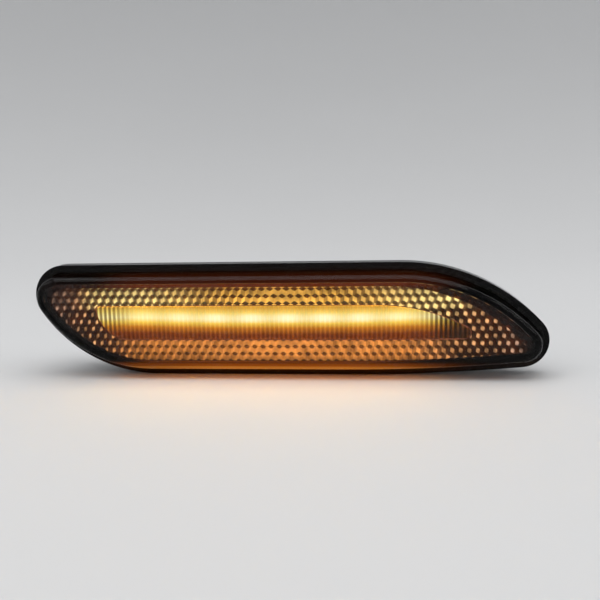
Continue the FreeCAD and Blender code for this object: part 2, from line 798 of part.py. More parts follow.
def make_driver_chip():
    """Driver chip with a row of legs on each long side."""
    body = new_body("driver_chip")
    block = (dim.chip_length, dim.chip_width, dim.chip_height)
    package = box_pad(body, "Package", BOARD_BACK, CHIP_PLACE, ZERO, *block, back=True)
    face = edges_at_level(package.Shape, BOARD_BACK - dim.chip_height)
    round_edges(body, "PackageEdge", package, face, dim.chip_height / 8, kind="Chamfer")
    sketch = new_sketch(body, "LegSketch", BOARD_BACK)
    first = CHIP_PLACE - dim.leg_pitch * ((LEGS_PER_SIDE - 1) / 2)
    draw_box(sketch, first, ZERO, dim.leg_width, dim.chip_width + dim.leg_reach * 2, "leg")
    leg = pad(body, "Leg", sketch, dim.leg_height, back=True)
    row_of(body, "Legs", leg, "X_Axis", LEGS_PER_SIDE, dim.leg_pitch)
    return body


def make_blocking_diode():
    """Diode against wrong polarity: a chamfered block with a lead at each end."""
    body = new_body("blocking_diode")
    size = (dim.diode_length, dim.diode_width, dim.diode_height)
    leads = (dim.diode_length * 1.25, dim.diode_width * 0.6, dim.diode_height * 0.2)
    block = box_pad(body, "Block", BOARD_BACK, DIODE_PLACE, ZERO, *size, back=True)
    face = edges_at_level(block.Shape, BOARD_BACK - dim.diode_height)
    round_edges(body, "BlockEdge", block, face, dim.diode_height / 8, kind="Chamfer")
    box_pad(body, "Leads", BOARD_BACK, DIODE_PLACE, ZERO, *leads, back=True)
    return body


def make_capacitor():
    """Smoothing capacitor: a can on a square foot."""
    body = new_body("capacitor")
    foot = dim.capacitor_height / 6
    side = dim.capacitor_radius * 2.1
    rest = dim.capacitor_height - foot
    box_pad(body, "Foot", BOARD_BACK, CAPACITOR_PLACE, ZERO, side, side, foot, back=True)
    base = BOARD_BACK - foot
    can = disc_pad(body, "Can", base, CAPACITOR_PLACE, ZERO, dim.capacitor_radius, rest, back=True)
    edge = edges_at_level(can.Shape, BOARD_BACK - dim.capacitor_height)
    round_edges(body, "CanEdge", can, edge, foot / 2, kind="Chamfer")
    return body


def make_terminal(pole):
    """Flat blade from the board through the housing's floor into the socket, its tip chamfered."""
    body = new_body(f"terminal_{pole}")
    top = dim.board_front - dim.blade_sink
    end = BODY_BACK - dim.blade_reach
    size = (dim.blade_width, dim.blade_thickness, top - end)
    blade = box_pad(body, "Blade", top, blade_places()[pole], ZERO, *size, back=True)
    round_edges(body, "BladeTip", blade, edges_at_level(blade.Shape, end), dim.blade_tip, kind="Chamfer")
    return body


def make_screws():
    """The two board screws, each with a cross recess, as one group."""
    screws = []
    seat = dim.board_front + dim.trough_floor
    top = seat + dim.screw_head_height
    long, thin = dim.screw_head_radius * 0.62, dim.screw_head_radius * 0.16
    for side, (x, z) in SCREWS.items():
        body = new_body(f"board_screw_{side}")
        head = disc_pad(body, "Head", seat, x, z, dim.screw_head_radius, dim.screw_head_height)
        edge = edges_at_level(head.Shape, top)
        round_edges(body, "HeadEdge", head, edge, dim.screw_head_height / 3, kind="Chamfer")
        disc_pad(body, "Shank", seat, x, z, dim.screw_radius, dim.screw_length, back=True)
        sketch = new_sketch(body, "RecessSketch", top)
        turns = [(thin, thin), (-thin, thin), (-thin, -thin), (thin, -thin)]
        arms = [
            ((long, -thin), (long, thin)),
            ((thin, long), (-thin, long)),
            ((-long, thin), (-long, -thin)),
            ((-thin, -long), (thin, -long)),
        ]
        points = []
        for arm, turn in zip(arms, turns):
            points += [(x + dx, z + dz) for dx, dz in (*arm, turn)]
        draw_polygon(sketch, points, "recess")
        pocket(body, "Recess", sketch, dim.screw_head_height / 2, back=True)
        screws.append(body)
    group = doc.addObject("Part::Compound", "board_screws")
    group.Links = screws
    group.Label = "board_screws"
    doc.recompute()
    return group


def make_housing():
    """Moulded housing: flange with a groove, a body that passes through the panel, bosses for the
    board, a rib that carries the plate, a plug socket, a hook and a tab for the spring clip."""
    body = new_body("housing")
    pad(body, "Flange", outline_sketch(body, "FlangeSketch", dim.gasket, LENS), dim.housing_flange)
    shell = outline_sketch(body, "ShellSketch", dim.gasket, BODY)
    block = pad(body, "Shell", shell, dim.gasket + dim.body_depth, back=True, taper=-dim.body_draft)
    back_edge = edges_at_level(block.Shape, BODY_BACK)
    round_edges(body, "ShellEdge", block, back_edge, dim.body_floor / 2, kind="Chamfer")
    cavity = outline_sketch(body, "CavitySketch", LENS_SEAT, BODY.inset(dim.body_wall))
    pocket(body, "Cavity", cavity, LENS_SEAT - FLOOR_FRONT, back=True)
    groove_sketch = outline_sketch(body, "GrooveSketch", LENS_SEAT, *groove_ring())
    pocket(body, "Groove", groove_sketch, dim.groove_depth, back=True)
    rib = LENS.inset(PLATE_INSET)
    rib_sketch = outline_sketch(body, "PlateRibSketch", LENS_SEAT, rib, rib.inset(dim.rib_wall))
    pad(body, "PlateRib", rib_sketch, dim.plate_back - LENS_SEAT)
    pad(body, "Bosses", at_screws(body, "BossSketch", FLOOR_FRONT, dim.boss_radius), BOARD_BACK - FLOOR_FRONT)
    pilots = at_screws(body, "PilotSketch", BOARD_BACK, dim.screw_radius)
    pocket(body, "Pilots", pilots, dim.pilot_depth, back=True)
    add_socket(body)
    add_panel_fixings(body)
    rib_sketch = new_sketch(body, "BackRibSketch", BODY_BACK)
    first = dim.back_rib_inset - BODY.length / 2
    draw_box(rib_sketch, first, ZERO, dim.back_rib_width, BODY.height * 0.6, "rib")
    back_rib = pad(body, "BackRib", rib_sketch, dim.back_rib_height, back=True)
    row_of(body, "BackRibs", back_rib, "X_Axis", BACK_RIB_COUNT, dim.back_rib_pitch)
    return body


def add_socket(body):
    """Plug socket on the back: a rounded shroud, slots for the blades and a latch ramp on top."""
    size = (dim.socket_length, dim.socket_width, dim.socket_depth)
    block = box_pad(body, "Socket", BODY_BACK, SOCKET_PLACE, ZERO, *size, back=True)
    half_length, half_width = SIZES["socket_length"] / 2, SIZES["socket_width"] / 2
    corners = [
        f"Edge{i}"
        for i, edge in enumerate(block.Shape.Edges, start=1)
        if len(edge.Vertexes) == 2
        and all(-v.Y < BODY_BACK.value + 1e-4 for v in edge.Vertexes)
        and abs(edge.Length - SIZES["socket_depth"]) < 1e-4
        and all(abs(abs(v.X - SOCKET_PLACE.value) - half_length) < 1e-4 for v in edge.Vertexes)
        and all(abs(abs(v.Z) - half_width) < 1e-4 for v in edge.Vertexes)
    ]
    round_edges(body, "SocketCorners", block, corners, dim.socket_corner)
    mouth = new_sketch(body, "MouthSketch", SOCKET_MOUTH)
    inner_length = dim.socket_length - dim.socket_wall * 2
    inner_width = dim.socket_width - dim.socket_wall * 2
    draw_box(mouth, SOCKET_PLACE, ZERO, inner_length, inner_width, "mouth")
    pocket(body, "Mouth", mouth, dim.socket_depth)
    pocket(body, "BladeSlots", at_blades(body, "BladeSlotSketch", BODY_BACK, ZERO), dim.body_floor)
    latch = new_sketch(body, "LatchSketch", SOCKET_PLACE, "YZ_Plane")
    foot = dim.socket_width / 2 - dim.socket_wall / 2
    tip = -SOCKET_MOUTH - dim.latch_setback
    heel = tip - dim.latch_length
    face = dim.socket_width / 2
    draw_polygon(latch, [(heel, foot), (tip, foot), (tip, face), (heel, face + dim.latch_height)], "latch")
    pad(body, "Latch", latch, dim.latch_width, midplane=True)


def add_panel_fixings(body):
    """Hook at the right end and, at the left, the tab that carries the spring clip."""
    wall = BODY.length / 2
    length = dim.hook_root + dim.hook_reach
    centre = wall + (dim.hook_reach - dim.hook_root) / 2
    size = (length, dim.hook_width, dim.hook_thickness)
    hook = box_pad(body, "Hook", -dim.panel_gap, centre, -dim.hook_drop, *size, back=True)
    tip = (wall + dim.hook_reach).value
    back = (dim.panel_gap + dim.hook_thickness).value
    lead = [
        f"Edge{i}"
        for i, edge in enumerate(hook.Shape.Edges, start=1)
        if all(abs(v.X - tip) < 1e-4 and abs(v.Y - back) < 1e-4 for v in edge.Vertexes)
    ]
    round_edges(body, "HookLead", hook, lead, dim.hook_lead, kind="Chamfer")
    tab = -(wall + dim.tab_gap + dim.tab_thickness / 2)
    tab_size = (dim.tab_thickness, dim.tab_width, dim.gasket + dim.tab_depth)
    box_pad(body, "ClipTab", dim.gasket, tab, dim.clip_rise, *tab_size, back=True)


def make_spring_clip():
    """Sheet spring folded over the housing's tab, its outer leg bowed out to a crest."""
    body = new_body("spring_clip")
    inner = -(BODY.length / 2 + dim.tab_gap)
    outer = inner - dim.tab_thickness
    end = dim.tab_depth
    sheet = dim.clip_thickness
    crest = outer - dim.clip_crest
    lead = outer - dim.clip_lead
    sketch = new_sketch(body, "SectionSketch", dim.clip_rise, "XY_Plane")
    points = [
        (inner, end - dim.clip_inner_leg),
        (inner + sheet, end - dim.clip_inner_leg),
        (inner + sheet, end + sheet),
        (outer - sheet, end + sheet),
        (crest - sheet, dim.clip_crest_back),
        (lead - sheet, dim.clip_lead_back),
        (lead, dim.clip_lead_back),
        (crest, dim.clip_crest_back),
        (outer, end),
        (inner, end),
    ]
    draw_polygon(sketch, points, "section")
    strip = pad(body, "Strip", sketch, dim.clip_width, midplane=True)
    bends = [
        f"Edge{i}"
        for i, edge in enumerate(strip.Shape.Edges, start=1)
        if abs(edge.Length - SIZES["clip_width"]) < 1e-4
        and abs(edge.Vertexes[0].Y - (end + sheet).value) < 1e-4
    ]
    round_edges(body, "Bends", strip, bends, sheet * 0.9)
    return body


pieces = [
    make_outer_lens(),
    make_gasket(),
    make_lens_sealant(),
    make_reflex_plate(),
    make_light_bar(),
    make_reflector(),
    make_led_board(),
    *[make_led(i) for i in range(LED_COUNT)],
    *[make_resistor(i) for i in range(RESISTOR_COUNT)],
    make_driver_chip(),
    make_blocking_diode(),
    make_capacitor(),
    make_terminal("positive"),
    make_terminal("negative"),
    make_screws(),
    make_housing(),
    make_spring_clip(),
]
doc.recompute()

for item in doc.Objects:
    if {"Invalid", "Error"} & set(item.State):
        raise RuntimeError(f"{item.Label} did not build: {item.State}")

os.makedirs("parts", exist_ok=True)
for piece in pieces:
    if piece.Shape.isNull() or not piece.Shape.isValid():
        raise RuntimeError(f"{piece.Label} has no valid shape")
    piece.Shape.exportStep(f"parts/{piece.Label}.step")
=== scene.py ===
"""Finishes for a side indicator lamp: a smoked cover lens over a honeycomb reflex plate and a fluted
light bar that glows amber, a black clip-in housing behind it, and a pale studio around it."""

import math

import bpy
import numpy as np
from mathutils import Matrix, Vector


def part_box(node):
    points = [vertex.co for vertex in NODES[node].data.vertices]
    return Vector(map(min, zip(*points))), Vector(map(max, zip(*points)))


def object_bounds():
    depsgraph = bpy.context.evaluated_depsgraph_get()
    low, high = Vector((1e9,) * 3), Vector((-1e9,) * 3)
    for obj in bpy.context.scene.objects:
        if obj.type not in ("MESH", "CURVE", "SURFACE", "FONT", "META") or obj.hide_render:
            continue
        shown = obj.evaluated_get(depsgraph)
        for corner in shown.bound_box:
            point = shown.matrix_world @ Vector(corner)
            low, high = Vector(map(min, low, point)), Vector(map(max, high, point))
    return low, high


bl_info = {
    "name": "Side Indicator Lamp",
    "version": (1, 0, 0),
    "blender": (4, 5, 0),
    "location": "View3D > Sidebar > Lamp",
    "description": "Dresses the packed side indicator lamp and sets its studio",
    "category": "Object",
}

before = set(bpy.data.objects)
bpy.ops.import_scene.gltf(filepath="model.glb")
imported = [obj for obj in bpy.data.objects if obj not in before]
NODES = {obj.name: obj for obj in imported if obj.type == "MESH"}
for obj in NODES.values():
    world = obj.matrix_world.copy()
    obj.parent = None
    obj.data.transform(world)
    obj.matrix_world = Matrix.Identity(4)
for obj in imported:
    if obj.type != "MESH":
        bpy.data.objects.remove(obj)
CAD_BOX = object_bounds()
MM = 0.001
FULL_TURN = 2 * math.pi
BLACK = (0.0, 0.0, 0.0)
WHITE = (1.0, 1.0, 1.0)


def mm(*lengths):
    """Lengths in millimetres, turned to metres."""
    return tuple(length * MM for length in lengths)


def box_middle(node):
    """The middle of a CAD node's box."""
    low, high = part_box(node)
    return (low + high) / 2


# Places of the light bar, its window and the LEDs; the bar's lip lies hidden behind the plate
BAR_LIP = 1.0 * MM
BAR_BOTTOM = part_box("light_bar")[0].z + BAR_LIP
BAR_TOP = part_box("light_bar")[1].z - BAR_LIP
FIRST_LED = box_middle("led_1").x
LED_PITCH = box_middle("led_2").x - FIRST_LED

# Glow of the whole lamp, for the light bar's own light and for the light painted on the cells, the plate and
# the lens: a pair of places gives where a mask starts and where it is full
LEFT_END = mm(-36.0, -50.0)
RIGHT_END = mm(28.0, 50.0)
MIDDLE = mm(42.0, 12.0)
UPPER_HALF = mm(-3.0, 4.5)
# Way from which the painted light on the cells comes: out along the lamp and up
LIGHT_REACH = 60.0 * MM
LIGHT_RISE = 0.5

# Painted light: glow of the plain bands above and below the cells, and a painted highlight line in the lens's
# lower edge
TOP_BAND = mm(8.0, 9.5)
TOP_BAND_FADE = mm(14.2, 10.5)
TOP_BAND_LEAST = 0.12
BOTTOM_BAND = mm(-9.4, -10.4)
BOTTOM_BAND_FADE = mm(-14.0, -11.8)
BOTTOM_BAND_LEAST = 0.1
BOTTOM_BAND_ASIDE = 0.5
# Painted highlight line in the lens's lower edge
EDGE_HIGHLIGHT_DROP = 11.2 * MM
EDGE_HIGHLIGHT = mm(0.6, 0.2)
BAND_END_LOSS = 0.94

# Smoked lens
LENS_INDEX = 1.22
LENS_WAVES = 260.0
LENS_WAVE_RANGE = (0.3, 0.8)
LENS_ROUGHNESS = (0.012, 0.04)
# Painted light: where the bands' glow is painted on the lens, its least share on the flange, and its strength
LENS_CROWN = mm(-4.0, -10.0)
LENS_FLANGE_GLOW = 0.06
LENS_GLOW = 0.5

# Glow of the light bar by share of its height: brown, orange, gold, pale yellow, gold, amber
BAR_GLOW = (
    (0.0, (0.08, 0.012, 0.001)),
    (0.21, (0.17, 0.026, 0.002)),
    (0.40, (0.54, 0.19, 0.01)),
    (0.54, (0.87, 0.62, 0.09)),
    (0.68, (0.97, 0.90, 0.40)),
    (0.84, (0.87, 0.70, 0.16)),
    (1.0, (0.60, 0.34, 0.04)),
)
BAR_MIDDLE_RISE = 0.06
BAR_HOT = (0.92, 1.08)
BAR_LEFT_END = mm(-48.5, -51.0)
BAR_RIGHT_END = mm(35.0, 44.0)
BAR_END_LEVEL = 0.18
# Painted shade: the bar's base colour, darker by this share between the flutes
BAR_SHADE = 0.5

# White line in the light bar, by share of its height
CORE_COLOUR = (1.0, 0.95, 0.66)
CORE_HEIGHT = 0.70
CORE_EDGE = (0.18, 0.03)
CORE_MIDDLE = (0.1, 0.7)
CORE_HOT = (0.4, 1.2)

# Painted shade: dark lines between the flutes of the light bar, in its glow
RIDGE_POWER = 2.0
LEFT_FLUTES = mm(-36.0, -45.0)
LEFT_CONTRAST = 0.82
RIGHT_FLUTES = mm(30.0, 40.0)
RIGHT_CONTRAST = 0.95
LOW_FLUTES = mm(1.2, -3.5)
LOW_CONTRAST = (0.14, 0.49)

# Painted light on the rim of the window in the reflex plate
WINDOW_TOP_RIM = mm(1.2, 0.8)
WINDOW_BOTTOM_RIM = mm(1.0, 0.6)
WINDOW_LEFT_RIM = mm(-50.0, -49.2)

# Painted highlights and spots of painted shade on the cells: where the three waves of a spot crest, and the
# sum at which it starts and is full
CELL_SPOTS = {
    "Bead": ((1 / 3, 1 / 6, 1 / 6), (-0.8, 1.9)),
    "Dark": ((-1 / 6, 1 / 6, -1 / 3), (-0.4, 1.4)),
}
LOWER_HIGHLIGHTS = mm(28.0, 48.0)
UPPER_HIGHLIGHTS = mm(10.0, 34.0)
MOST_HIGHLIGHT = 0.9
TOP_HIGHLIGHT_GAIN = 0.75
END_HIGHLIGHT_GAIN = -0.45
DARK_LEVELS = (0.2, 0.15)

# Painted light and shade in the cells: which facets catch the painted light, its colours by place, its mottle
# and painted glints, and the painted shade in the plate's base colour
FACET_TURN = (-0.2, 0.45)
FLAT_FACE = (-0.93, -0.99)
SOFT_TOP = 0.8
SOFT_BOTTOM = 0.55
TOP_ROWS = mm(2.5, 4.6)
TOP_LEFT_END = mm(-46.0, -54.0)
TOP_RIGHT_END = mm(40.0, 50.0)
TIPS = mm(50.0, 58.0)
DOWN_TO_BAR = mm(8.5, 4.5)
DOWN_LEVELS = (0.75, 1.3)
LOWEST_ROW = mm(-9.2, -8.2)
LOWEST_ROW_LEAST = 0.55
# Painted glints at the ends of the cells, and a random mottle of their painted glow elsewhere
CELL_MOTTLE = 430.0
MOTTLE_MEAN = 0.5
GLINTS = (0.36, 0.70)
GLINT_LEVELS = (0.42, 2.1)
# Painted shade: base colour of facets turned away from the painted light, darker by this share
PLATE_SHADE = 0.6

# Grain of moulded plastic and foam
MOTTLE_SCALE = 0.03
MOTTLE_SHARE = 0.55
FINE_SHARE = 0.25
WORN_GREY = (0.5, 0.5, 0.5)
WORN_SHARE = 0.06

# Resin face of an LED, lines of rolled metal, and tracks of the board
RESIN_FACE = mm(-1.55, -1.65)
PACKAGE_MOTTLE = 900.0
METAL_LINES = 3000.0
METAL_LINE_RANGE = (0.25, 0.75)
METAL_SMOOTHER = -0.06
METAL_ROUGHER = 0.1
METAL_SHADE = 0.86
TRACK_PITCH = 2.1 * MM
TRACK_BEND = 0.5
TRACK_EDGE = (0.5, 0.62)

# Studio lamps: name, place, side of the square and watts
STUDIO_LAMPS = (
    ("overhead", (0.0, -0.10, 0.75), 0.9, 4.6),
    ("left_fill", (-1.3, -0.6, 1.0), 1.1, 7.6),
    ("right_fill", (1.4, -0.3, 0.9), 1.1, 5.6),
)
SWEEP_STEPS = 48
ROUND_STEPS = 97
FLOOR_MOTTLE = 6.0
FLOOR_SHADE = 0.97

# Camera
PHOTO_WIDTH = 600
SENSOR_WIDTH = 36.0
CLIP_START = 5.0 * MM


def colour_prop(name, description, default):
    return bpy.props.FloatVectorProperty(
        name=name, description=description, subtype="COLOR", size=3, min=0.0, max=1.0, default=default
    )


def length_prop(name, description, default):
    return bpy.props.FloatProperty(
        name=name, description=description, default=default, unit="LENGTH", precision=5
    )


def number_prop(name, description, default, low=0.0, high=10.0):
    return bpy.props.FloatProperty(name=name, description=description, default=default, min=low, max=high)


class LampLight(bpy.types.PropertyGroup):
    """How the lamp glows when it is lit."""

    bar_strength: number_prop("Bar", "Strength of the light bar's glow", 2.7)
    # Painted light: strength of the glow painted on the reflex cells, which are no lamp
    field_strength: number_prop("Cells", "Strength of the glow in the reflex cells", 2.5)
    spill: number_prop("Spill", "How much more light reaches the floor than the eye", 10.0, high=50.0)
    led_strength: number_prop("LEDs", "Strength of the LEDs themselves", 6.0, high=50.0)
    bar_bottom: length_prop("Bar bottom", "Height of the light bar's lower edge", BAR_BOTTOM)
    bar_height: length_prop("Bar height", "Height of the light bar", BAR_TOP - BAR_BOTTOM)
    flute_first: length_prop("First flute", "Place of the first flute's crest along the lamp", -48.56 * MM)
    flute_pitch: length_prop("Flute pitch", "Distance from one flute to the next", 1.16 * MM)
    cell_pitch: length_prop("Cell pitch", "Distance from one reflex cell to the next in a row", 2.06 * MM)
    row_pitch: length_prop("Row pitch", "Distance from one row of cells to the next", 1.83 * MM)
    cell_drop: length_prop("Cell drop", "How far the middle row lies below the lamp's middle", 0.05 * MM)
    window_top: length_prop("Window top", "Height of the window's upper edge", BAR_TOP)
    window_turn: length_prop("Window turn", "Where the window's upper edge starts to fall", 23.4 * MM)
    window_radius: length_prop("Window radius", "Radius of the window's falling edge", 46.0 * MM)
    led_first: length_prop("First LED", "Place of the first LED along the lamp", FIRST_LED)
    led_pitch: length_prop("LED pitch", "Distance from one LED to the next", LED_PITCH)


class LampColours(bpy.types.PropertyGroup):
    """Colours of the lamp's materials, and of the light and shade painted on the cells, the window rim and
    the lens.
    """

    lens: colour_prop("Lens", "Smoked plastic of the cover lens", (0.375, 0.36, 0.35))
    plate: colour_prop("Plate", "Amber plastic of the reflex plate", (0.045, 0.016, 0.005))
    bar: colour_prop("Bar", "Clear amber plastic of the light bar", (0.28, 0.17, 0.06))
    # Painted light: glow of the reflex cells by place, and the painted shade of their dark facets
    cell_top: colour_prop("Upper cells", "Glow of cells above the bar", (1.0, 0.79, 0.30))
    cell_middle: colour_prop("Middle cells", "Glow of the cells above the bar's middle", (0.84, 0.46, 0.08))
    cell_bottom: colour_prop("Lower cells", "Glow of cells below the bar", (0.57, 0.215, 0.044))
    cell_end: colour_prop("End cells", "Glow of cells at the two ends", (0.40, 0.21, 0.092))
    cell_tip: colour_prop("Tip cells", "Glow of the outermost cells", (0.25, 0.15, 0.105))
    cell_dark: colour_prop("Dark facets", "Facets turned away from the light", (0.012, 0.003, 0.0005))
    # Painted light on the rim round the light bar
    window_rim_light: colour_prop("Window rim", "Light caught by the rim round the light bar", (0.13, 0.042, 0.02))
    spill: colour_prop("Spill", "Tint of the light that falls on the floor", (1.0, 0.86, 0.20))
    # Painted light: glow of the plain bands above and below the cells
    band_top: colour_prop("Upper band", "Glow of the plain band above the cells", (0.046, 0.0070, 0.0008))
    band_bottom: colour_prop("Lower band", "Glow of the plain band below the cells", (0.46, 0.092, 0.0018))
    # Painted highlight in the lens's lower edge
    edge_highlight: colour_prop("Lower edge", "Light caught in the lens's lower edge", (0.85, 0.27, 0.03))
    reflector: colour_prop("Reflector", "White plastic of the trough", (0.78, 0.77, 0.74))
    led_package: colour_prop("LED package", "Pale package of the LEDs", (0.85, 0.84, 0.8))
    led_shade: colour_prop("LED shade", "Darker patches of the LED package", (0.75, 0.74, 0.7))
    led_resin: colour_prop("LED resin", "Amber resin in the LEDs", (0.9, 0.6, 0.12))
    led_glow: colour_prop("LED glow", "Light of the LEDs", (1.0, 0.62, 0.14))
    board: colour_prop("Board", "Green solder mask", (0.008, 0.07, 0.03))
    track: colour_prop("Tracks", "Solder mask over copper", (0.018, 0.13, 0.055))
    component: colour_prop("Driver parts", "Black resin of chip, diode and resistors", (0.02, 0.02, 0.02))
    capacitor: colour_prop("Capacitor", "Aluminium can", (0.7, 0.7, 0.72))
    screw: colour_prop("Screws", "Zinc-plated steel", (0.66, 0.65, 0.62))
    housing: colour_prop("Housing", "Black moulded plastic", (0.012, 0.012, 0.013))
    gasket: colour_prop("Gasket", "Dark foam", (0.022, 0.022, 0.023))
    sealant: colour_prop("Sealant", "Black sealant", (0.03, 0.03, 0.03))
    spring: colour_prop("Spring clip", "Spring steel", (0.5, 0.5, 0.51))
    blade: colour_prop("Blades", "Brass", (0.78, 0.58, 0.28))


class StageSettings(bpy.types.PropertyGroup):
    """The camera, the floor and the air."""

    azimuth: number_prop("Azimuth", "Camera's turn to the right, in degrees", 7.0, -180.0, 180.0)
    elevation: number_prop("Elevation", "Camera's height above the horizon, in degrees", 9.97, -90.0, 90.0)
    roll: number_prop("Roll", "Camera's roll, in degrees", -1.384, -10.0, 10.0)
    distance: length_prop("Distance", "Camera's distance from the lamp", 0.220)
    focal_pixels: number_prop("Focal length", "Focal length in pixels", 861.0, 100.0, 5000.0)
    aim_x: number_prop("Aim across", "Pixel across at which the lamp's middle shows", 285.14, 0.0, 600.0)
    aim_y: number_prop("Aim down", "Pixel down at which the lamp's middle shows", 318.74, 0.0, 600.0)
    aim_depth: length_prop("Aim depth", "How far before the lamp's origin the camera aims", 5.0 * MM)
    floor: colour_prop("Floor", "Pale studio floor", (0.62, 0.62, 0.62))
    floor_gap: length_prop("Floor gap", "Gap between the lamp's lower edge and the floor", 0.1 * MM)
    sweep_start: length_prop("Sweep start", "How far from the lamp the floor starts to turn up", 0.25)
    sweep_radius: length_prop("Sweep radius", "Radius of the turn from floor to wall", 1.5)
    air: colour_prop("Air", "Colour of the even light all round", (0.8, 0.82, 0.85))
    air_strength: number_prop("Air strength", "Strength of the even light all round", 0.55)


def light():
    return bpy.context.scene.lamp_light


def colours():
    return bpy.context.scene.lamp_colours


def stage_settings():
    return bpy.context.scene.lamp_stage


def scaled(colour, share):
    return tuple(channel * share for channel in colour)


# Node trees

class Tree:
    """A node tree with short ways to add nodes and join them."""

    def __init__(self, tree):
        self.tree = tree

    def add(self, kind, **settings):
        node = self.tree.nodes.new(kind)
        for name, value in settings.items():
            setattr(node, name, value)
        return node

    def feed(self, socket, value):
        """Links a socket, or sets a value; a colour gets its alpha."""
        if isinstance(value, bpy.types.NodeSocket):
            self.tree.links.new(value, socket)
        elif hasattr(socket.default_value, "__len__") and len(socket.default_value) == 4 and len(value) == 3:
            socket.default_value = (*value, 1.0)
        else:
            socket.default_value = value

    def math(self, operation, *values, clamp=False):
        node = self.add("ShaderNodeMath", operation=operation, use_clamp=clamp)
        for socket, value in zip(node.inputs, values):
            self.feed(socket, value)
        return node.outputs[0]

    def product(self, first, *others):
        for other in others:
            first = self.math("MULTIPLY", first, other)
        return first

    def between(self, mask, low, high):
        """Goes evenly from low to high as the mask goes from nothing to one."""
        return self.math("MULTIPLY_ADD", mask, self.math("SUBTRACT", high, low), low)

    def smooth(self, value, start, end, low=0.0, high=1.0):
        """Goes smoothly from low to high as value goes from start to end."""
        node = self.add("ShaderNodeMapRange", interpolation_type="SMOOTHSTEP")
        names = ("Value", "From Min", "From Max", "To Min", "To Max")
        for name, item in zip(names, (value, start, end, low, high)):
            self.feed(node.inputs[name], item)
        return node.outputs["Result"]

    def wave(self, value, crest, pitch):
        """A wave between minus one and one, with one crest at the place given and the next a pitch on."""
        from_crest = self.math("SUBTRACT", value, crest)
        return self.math("COSINE", self.math("MULTIPLY", from_crest, FULL_TURN / pitch))

    def ripple(self, value, crest, pitch):
        """The same wave between nothing and one."""
        return self.math("MULTIPLY_ADD", self.wave(value, crest, pitch), 0.5, 0.5)

    def vector(self, operation, *values, out="Vector"):
        node = self.add("ShaderNodeVectorMath", operation=operation)
        for socket, value in zip(node.inputs, values):
            self.feed(socket, value)
        return node.outputs[out]

    def mix(self, factor, first, second, blend="MIX"):
        node = self.add("ShaderNodeMix", data_type="RGBA", blend_type=blend)
        self.feed(node.inputs["Factor"], factor)
        self.feed(node.inputs["A"], first)
        self.feed(node.inputs["B"], second)
        return next(s for s in node.outputs if s.type == "RGBA")

    def times(self, colour, level):
        """The colour times a level or another colour."""
        return self.mix(1.0, colour, level, "MULTIPLY")

    def ramp(self, factor, stops):
        node = self.add("ShaderNodeValToRGB")
        elements = node.color_ramp.elements
        while len(elements) < len(stops):
            elements.new(0.5)
        for element, (place, colour) in zip(elements, stops):
            element.position = place
            element.color = (*colour, 1.0)
        self.feed(node.inputs["Fac"], factor)
        return node.outputs["Color"]

    def noise(self, scale, detail=3.0, roughness=0.5, where=None):
        node = self.add("ShaderNodeTexNoise")
        self.feed(node.inputs["Vector"], where or self.place())
        self.feed(node.inputs["Scale"], scale)
        node.inputs["Detail"].default_value = detail
        node.inputs["Roughness"].default_value = roughness
        return node.outputs["Fac"]

    def place(self):
        return self.add("ShaderNodeTexCoord").outputs["Object"]

    def coordinates(self, vector=None):
        """The three coordinates of a vector, or of the point itself."""
        node = self.add("ShaderNodeSeparateXYZ")
        self.feed(node.inputs[0], vector or self.place())
        return node.outputs

    def group(self, group, **values):
        node = self.add("ShaderNodeGroup")
        node.node_tree = group
        for name, value in values.items():
            self.feed(node.inputs[name], value)
        return node.outputs

    def bump(self, height, strength, distance):
        node = self.add("ShaderNodeBump")
        node.inputs["Strength"].default_value = strength
        node.inputs["Distance"].default_value = distance
        self.feed(node.inputs["Height"], height)
        return node.outputs["Normal"]


# Node groups

def new_group(name, inputs, outputs):
    """An empty shader node group; inputs map socket names to kinds and defaults, outputs to kinds."""
    group = bpy.data.node_groups.new(name, "ShaderNodeTree")
    for socket, (kind, default) in inputs.items():
        item = group.interface.new_socket(socket, in_out="INPUT", socket_type=f"NodeSocket{kind}")
        item.default_value = default
    for socket, kind in outputs.items():
        group.interface.new_socket(socket, in_out="OUTPUT", socket_type=f"NodeSocket{kind}")
    tree = Tree(group)
    return group, tree, tree.add("NodeGroupInput").outputs, tree.add("NodeGroupOutput").inputs


def kept_group(build):
    """The group that a function builds, built the first time it is asked for."""
    return bpy.data.node_groups.get(build.__name__) or build(build.__name__)


def moulded_grain(name):
    """Fine spark-eroded grain with a slow mottle, for moulded plastic and foam."""
    group, tree, inputs, outputs = new_group(
        name,
        {
            "Scale": ("Float", 1500.0),
            "Colour": ("Color", (0.1, 0.1, 0.1, 1.0)),
            "Roughness": ("Float", 0.5),
            "Spread": ("Float", 0.1),
        },
        {"Colour": "Color", "Roughness": "Float", "Height": "Float"},
    )
    fine = tree.noise(inputs["Scale"], detail=4.0, roughness=0.6)
    slow = tree.noise(tree.math("MULTIPLY", inputs["Scale"], MOTTLE_SCALE))
    worn = tree.mix(WORN_SHARE, inputs["Colour"], WORN_GREY)
    mottled = tree.mix(tree.math("MULTIPLY", slow, MOTTLE_SHARE), inputs["Colour"], worn)
    colour = tree.mix(tree.math("MULTIPLY", fine, FINE_SHARE), mottled, inputs["Colour"])
    swing = tree.math("MULTIPLY", tree.math("SUBTRACT", slow, MOTTLE_MEAN), inputs["Spread"])
    tree.feed(outputs["Colour"], colour)
    tree.feed(outputs["Roughness"], tree.math("ADD", inputs["Roughness"], swing, clamp=True))
    tree.feed(outputs["Height"], fine)
    return group


